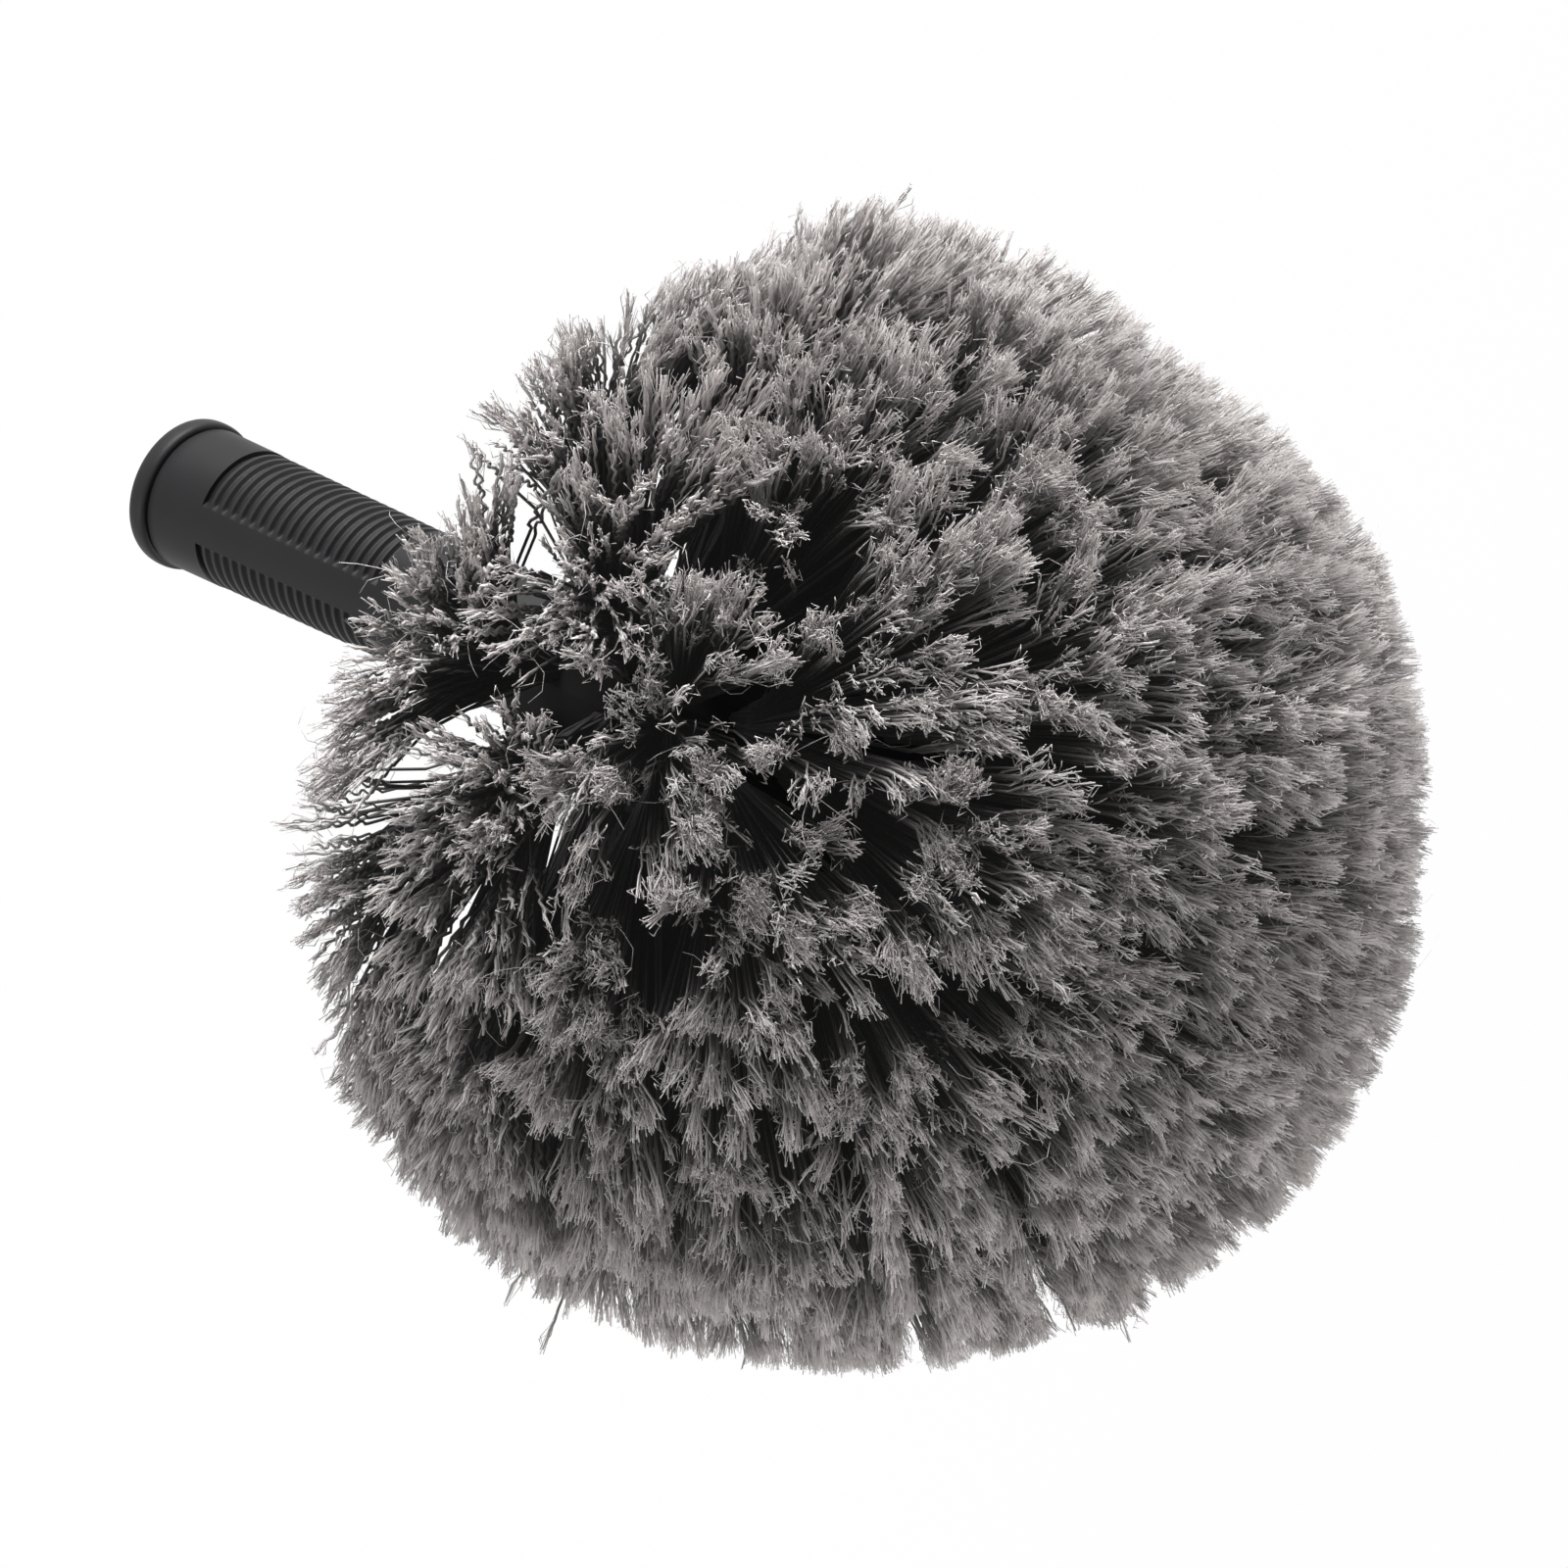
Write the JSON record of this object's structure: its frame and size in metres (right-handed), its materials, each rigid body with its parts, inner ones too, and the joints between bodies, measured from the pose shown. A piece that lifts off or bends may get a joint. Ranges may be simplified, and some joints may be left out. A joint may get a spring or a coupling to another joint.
{
  "type": "cobweb brush head",
  "caption": "Ball-shaped cobweb brush head of crimped, split-tip bristle tufts set in a core on a ribbed plastic socket that pushes onto a round pole.",
  "frame": {"origin": "centre of the socket's mouth, on the end face of the bead", "axes": "+Z along the brush axis, from the socket's mouth to the tip of the ball; +X through the middle of one smooth strip of the socket"},
  "size_m": [0.1948, 0.1902, 0.2645],
  "materials": {
    "handle_plastic": "satin black moulded polypropylene",
    "core_plastic": "matt black moulded polypropylene",
    "bristle": "matt crimped grey filament with paler split tips",
    "anchor_wire": "flat galvanised wire",
    "screw_steel": "zinc plated"
  },
  "bodies": {
    "root": {"socket_handle": "handle_plastic", "tuft_core": "core_plastic", "fixing_screw": "screw_steel", "screw_washer": "screw_steel", "tip_tuft": "bristle", "tip_anchor": "anchor_wire", "tuft_ring_1": "bristle", "anchor_ring_1": "anchor_wire", "tuft_ring_2": "bristle", "anchor_ring_2": "anchor_wire", "tuft_ring_3": "bristle", "anchor_ring_3": "anchor_wire", "tuft_ring_4": "bristle", "anchor_ring_4": "anchor_wire", "tuft_ring_5": "bristle", "anchor_ring_5": "anchor_wire", "tuft_ring_6": "bristle", "anchor_ring_6": "anchor_wire", "tuft_ring_7": "bristle", "anchor_ring_7": "anchor_wire"}
  },
  "joints": []
}
